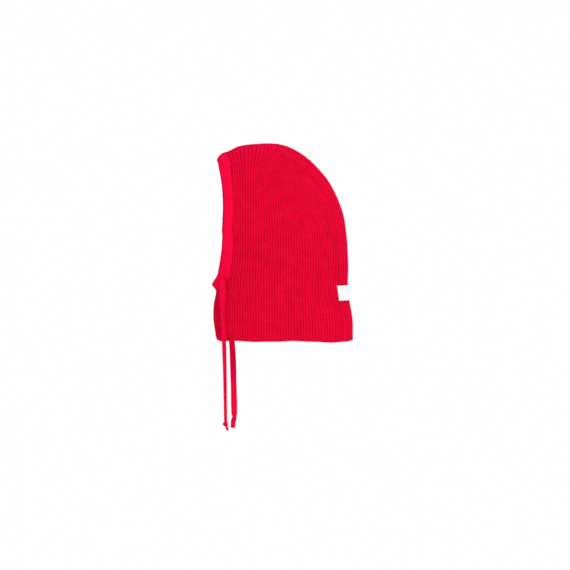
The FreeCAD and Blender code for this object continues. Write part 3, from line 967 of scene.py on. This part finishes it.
class Nodes:
    """A material's node tree, with short ways to add to it."""

    def __init__(self, name, base, roughness, sheen=0.0, sheen_tint=WHITE):
        self.material = bpy.data.materials.new(name)
        self.material.use_nodes = True
        self.tree = self.material.node_tree
        self.shader = self.tree.nodes["Principled BSDF"]
        for socket, value in (("Base Color", (*base, 1.0)), ("Roughness", roughness), ("Sheen Weight", sheen),
                              ("Sheen Roughness", 0.45), ("Sheen Tint", sheen_tint), (SPECULAR, 0.0)):
            self.shader.inputs[socket].default_value = value

    def add(self, kind, **settings):
        node = self.tree.nodes.new(kind)
        for key, value in settings.items():
            setattr(node, key, value)
        return node

    def link(self, source, target):
        self.tree.links.new(source, target)

    def math(self, operation, *values):
        node = self.add("ShaderNodeMath", operation=operation)
        for socket, value in zip(node.inputs, values):
            if isinstance(value, (int, float)):
                socket.default_value = value
            else:
                self.link(value, socket)
        return node.outputs[0]

    def mixed(self, *parts):
        """Sum of (output, weight) parts."""
        total = None
        for output, weight in parts:
            part = self.math("MULTIPLY", output, weight)
            total = part if total is None else self.math("ADD", total, part)
        return total

    def noise(self, scale, detail):
        node = self.add("ShaderNodeTexNoise")
        node.inputs["Scale"].default_value = scale
        node.inputs["Detail"].default_value = detail
        self.link(self.add("ShaderNodeTexCoord").outputs["Object"], node.inputs["Vector"])
        return node.outputs["Fac"]

    def knit_coordinates(self):
        split = self.add("ShaderNodeSeparateXYZ")
        self.link(self.add("ShaderNodeUVMap", uv_map="knit").outputs["UV"], split.inputs[0])
        return split.outputs["X"], split.outputs["Y"]

    def base_colour(self, factor, *stops):
        """Base colour from a ramp through (place, colour) stops."""
        ramp = self.add("ShaderNodeValToRGB")
        elements = ramp.color_ramp.elements
        for end, (place, colour) in ((0, stops[0]), (1, stops[-1])):
            elements[end].position = place
            elements[end].color = (*colour, 1)
        for place, colour in stops[1:-1]:
            elements.new(place).color = (*colour, 1)
        self.link(factor, ramp.inputs["Fac"])
        self.link(ramp.outputs["Color"], self.shader.inputs["Base Color"])

    def bump(self, height, strength, distance):
        node = self.add("ShaderNodeBump")
        node.inputs["Strength"].default_value = strength
        node.inputs["Distance"].default_value = distance
        self.link(height, node.inputs["Height"])
        self.link(node.outputs["Normal"], self.shader.inputs["Normal"])


def stitch_height(nodes, per_rib, per_pitch):
    """Rows of V stitches from the knit coordinates: columns across, courses along."""
    across, along = nodes.knit_coordinates()
    column = nodes.math("FRACT", nodes.math("MULTIPLY", across, per_rib))
    slant = nodes.math("ABSOLUTE", nodes.math("SUBTRACT", column, 0.5))
    course = nodes.mixed((along, per_pitch), (slant, 1.6))
    leg = nodes.math("SINE", nodes.math("MULTIPLY", course, 2 * math.pi))
    valley = nodes.math("POWER", nodes.math("MULTIPLY", nodes.math("SUBTRACT", 0.5, slant), 2.0), 3.0)
    edge = nodes.math("POWER", nodes.math("MULTIPLY", slant, 2.0), 6.0)
    return nodes.math("SUBTRACT", leg, nodes.mixed((valley, 0.8), (edge, 1.0)))


def knit_material(name, furrow, face, bright, per_pitch=2.2):
    """Woollen knit: painted shade darkens the furrows and, a little, the dips between the V stitches; the
    stitches also bump it, and a short fuzz catches the light.
    """
    nodes = Nodes(name, face, 0.9, 0.35, RED_PINK_SHEEN)
    painted_shade = nodes.add("ShaderNodeAttribute", attribute_name="painted_shade").outputs["Fac"]
    mottle = nodes.noise(60.0, 4.0)
    patch = nodes.noise(310.0, 2.0)
    fibre = nodes.noise(2600.0, 2.0)
    stitches = stitch_height(nodes, 1.0, per_pitch)
    # painted shade: the tone is darkest where the shade values are low (the furrows) and in the stitch dips;
    # mottle and patch vary it at random
    tone = nodes.mixed((painted_shade, 0.46), (mottle, 0.36), (patch, 0.26), (fibre, 0.08), (stitches, 0.035))
    nodes.base_colour(nodes.math("MULTIPLY", tone, 0.8), (0.26, furrow), (0.64, face), (0.90, bright))
    nodes.bump(nodes.mixed((stitches, 1.0), (fibre, 1.3)), 0.55, 0.0004)
    return nodes.material


def yarn_material(name, dark, light, twist_scale, roughness=0.85, fuzz=0.2, tint=RED_PINK_SHEEN):
    """Plied yarn of the seams, eyelets and stitches."""
    nodes = Nodes(name, light, roughness, fuzz, tint)
    fibre = nodes.noise(twist_scale, 3.0)
    mottle = nodes.noise(140.0, 2.0)
    nodes.base_colour(nodes.mixed((fibre, 0.7), (mottle, 0.4)), (0.3, dark), (0.75, light))
    nodes.bump(fibre, 0.6, 0.0003)
    return nodes.material


def woven_material(name, dark, light, threads, roughness, sheen):
    """Fine woven ribbon: crossing threads, a faint unevenness and a soft gloss."""
    nodes = Nodes(name, light, roughness, sheen)
    nodes.shader.inputs[SPECULAR].default_value = 0.4
    across, along = nodes.knit_coordinates()
    warp = nodes.math("SINE", nodes.math("MULTIPLY", across, threads))
    weft = nodes.math("SINE", nodes.math("MULTIPLY", along, threads * 1.25))
    weave = nodes.math("MULTIPLY", warp, weft)
    mottle = nodes.noise(120.0, 3.0)
    nodes.base_colour(nodes.mixed((weave, 0.06), (mottle, 1.0)), (0.25, dark), (0.7, light))
    nodes.bump(weave, 0.15, 0.0001)
    return nodes.material


def dress(piece, material, body, replaced):
    """Gives a piece its material and tells the frame what it is."""
    piece.data.materials.clear()
    piece.data.materials.append(material)
    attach(piece, body)
    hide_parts(replaced)
    return piece


# ---- stage ----
CAMERA_DISTANCE = 5.0
FRAME_WIDTH = 1.026         # width seen at the object's middle
CAMERA_AZIMUTH = 87.4
AIM_Y = 0.0
AIM_HEIGHT = 0.1008         # above the hem
SENSOR = 36.0
FLOOR_Z = -0.95
FLOOR_HALF = 1.7
FLOOR_PALE = (0.96, 0.96, 0.96)
FLOOR_LIGHT = (0.9792, 0.9792, 0.9792)
BACKDROP = (0.99, 0.99, 0.99, 1.0)
FILL = 0.70                 # strength of the light from all round


def floor():
    nodes = Nodes("floor_pale", FLOOR_PALE, 0.95)
    nodes.base_colour(nodes.noise(4.0, 2.0), (0.4, FLOOR_PALE), (0.6, FLOOR_LIGHT))
    mesh = bpy.data.meshes.new("floor")
    corners = [(x * FLOOR_HALF, y * FLOOR_HALF, 0) for x, y in ((-1, -1), (1, -1), (1, 1), (-1, 1))]
    mesh.from_pydata(corners, [], [(0, 1, 2, 3)])
    mesh.materials.append(nodes.material)
    piece = add_to_scene(bpy.data.objects.new("floor", mesh))
    piece.location = (0, 0, FLOOR_Z)


def aim(thing, place, target):
    """Puts a light or camera at a place, turned to look at the target."""
    thing.location = place
    thing.rotation_euler = (Vector(target) - Vector(place)).to_track_quat("-Z", "Y").to_euler()


def area_light(name, place, target, size, power):
    data = bpy.data.lights.new(name, "AREA")
    data.shape = "DISK"
    data.size = size
    data.energy = power
    aim(add_to_scene(bpy.data.objects.new(name, data)), place, target)


def world():
    """Even light from all round; the camera sees a near-white backdrop."""
    made = bpy.data.worlds.new("studio")
    made.use_nodes = True
    nodes, link = made.node_tree.nodes, made.node_tree.links.new
    fill, seen = nodes["Background"], nodes.new("ShaderNodeBackground")
    for node, colour, strength in ((fill, WHITE, FILL), (seen, BACKDROP, 1.0)):
        node.inputs["Color"].default_value = colour
        node.inputs["Strength"].default_value = strength
    mix = nodes.new("ShaderNodeMixShader")
    link(nodes.new("ShaderNodeLightPath").outputs["Is Camera Ray"], mix.inputs["Fac"])
    link(fill.outputs[0], mix.inputs[1])
    link(seen.outputs[0], mix.inputs[2])
    link(mix.outputs[0], nodes["World Output"].inputs["Surface"])
    bpy.context.scene.world = made


def camera():
    data = bpy.data.cameras.new("camera")
    data.sensor_width = SENSOR
    data.lens = SENSOR * CAMERA_DISTANCE / FRAME_WIDTH
    data.clip_end = 50.0
    made = add_to_scene(bpy.data.objects.new("camera", data))
    turn = math.radians(CAMERA_AZIMUTH)
    target = Vector((0.0, AIM_Y, HEM_Z + AIM_HEIGHT))
    aim(made, target + CAMERA_DISTANCE * Vector((math.sin(turn), -math.cos(turn), 0.0)), target)
    bpy.context.scene.camera = made


camera()

# ---- the cords first, because their room depends on the view ----
# painted light: the cords' red is painted lighter than the hood's rib knit of the same yarn
cord_red_painted_lighter = knit_material("cord_red_painted_lighter", (0.58, 0.0016, 0.032), (0.90, 0.003, 0.050), (0.98, 0.005, 0.074), 1.0)
for side_name, side, route, twists, gather, tail_route, width in (
        ("left", 1, LEFT_ROUTE, LEFT_TWIST, 0.7, LEFT_TAIL, 4.4),
        ("right", -1, RIGHT_ROUTE, RIGHT_TWIST, 0.5, RIGHT_TAIL, 8.6)):
    body = side_name + "_tie"
    strand, line = tie(body + "_cord", route, twists, side, gather)
    strand.data.materials.append(cord_red_painted_lighter)
    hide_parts(body)
    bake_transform(strand)
    ends = [dress(piece, cord_red_painted_lighter, body, replaced) for piece, replaced in (
        (knot(body + "_overhand_knot", route, side), body + "_knot"),
        (tail(body + "_end", tail_route, width, side), body + "_tail"))]

# ---- the hood ----
rib_red = knit_material("rib_red", (0.43, 0.0011, 0.0145), (0.79, 0.0030, 0.032), (0.96, 0.0048, 0.050))
# painted light: the band's red is painted lighter than the rib knit of the same yarn
band_red_painted_lighter = knit_material("band_red_painted_lighter", (0.62, 0.0018, 0.030), (0.93, 0.0033, 0.048), (0.99, 0.0054, 0.072), 1.0)
seam_red = yarn_material("seam_red", (0.48, 0.0008, 0.018), (0.80, 0.002, 0.034), 1900.0)
eyelet_red = yarn_material("eyelet_red", (0.44, 0.0008, 0.018), (0.80, 0.002, 0.036), 2200.0)
label_white = woven_material("label_white", (0.70, 0.72, 0.72), (0.79, 0.805, 0.805), 9.0, 0.7, 0.1)
thread_white = yarn_material("thread_white", (0.78, 0.79, 0.79), (0.92, 0.92, 0.92), 2500.0, 0.6, 0.1, WHITE)
satin_white = woven_material("satin_white", (0.82, 0.82, 0.80), (0.93, 0.93, 0.92), 14.0, 0.35, 0.2)

for make, material, slot, replaced in (
        (hood_panel, rib_red, "rib_knit", "hood_panel"),
        (back_gusset, rib_red, "rib_knit", "back_gusset"),
        (hem_edge, rib_red, "seam_knit", "hem_edge"),
        (face_band, band_red_painted_lighter, "band_knit", "face_band"),
        (drawcord_run, cord_red_painted_lighter, "cord_knit", "drawcord_run"),
        (band_seam, seam_red, "seam_knit", "band_seam"),
        (dart_seam, seam_red, "seam_knit", "dart_seam"),
        (front_neck_seam, seam_red, "seam_knit", "front_neck_seam")):
    dress(make(), material, "hood", replaced)
for side_name, side in (("left", 1), ("right", -1)):
    gusset_seam_name, eyelet_name = side_name + "_gusset_seam", side_name + "_eyelet"
    dress(gusset_seam(gusset_seam_name + "_yarn", side), seam_red, "hood", gusset_seam_name)
    dress(eyelet(eyelet_name + "_stitched", side), eyelet_red, "hood", eyelet_name)
label = dress(back_label(), label_white, "hood", "back_label")
thread = dress(label_stitches(), thread_white, "hood", "label_stitches")
care = dress(care_label(), satin_white, "hood", "care_label")

# ---- light and view ----
floor()
world()
area_light("key", (2.6, 1.4, 1.6), (0.0, 0.0, -0.15), 1.1, 52.0)
area_light("front_fill", (2.0, -2.4, 0.2), (0.0, 0.0, -0.2), 1.6, 16.0)
area_light("rim", (-0.6, 1.8, 1.2), (0.0, 0.0, -0.15), 1.0, 12.0)
bpy.context.scene.view_settings.view_transform = "Standard"
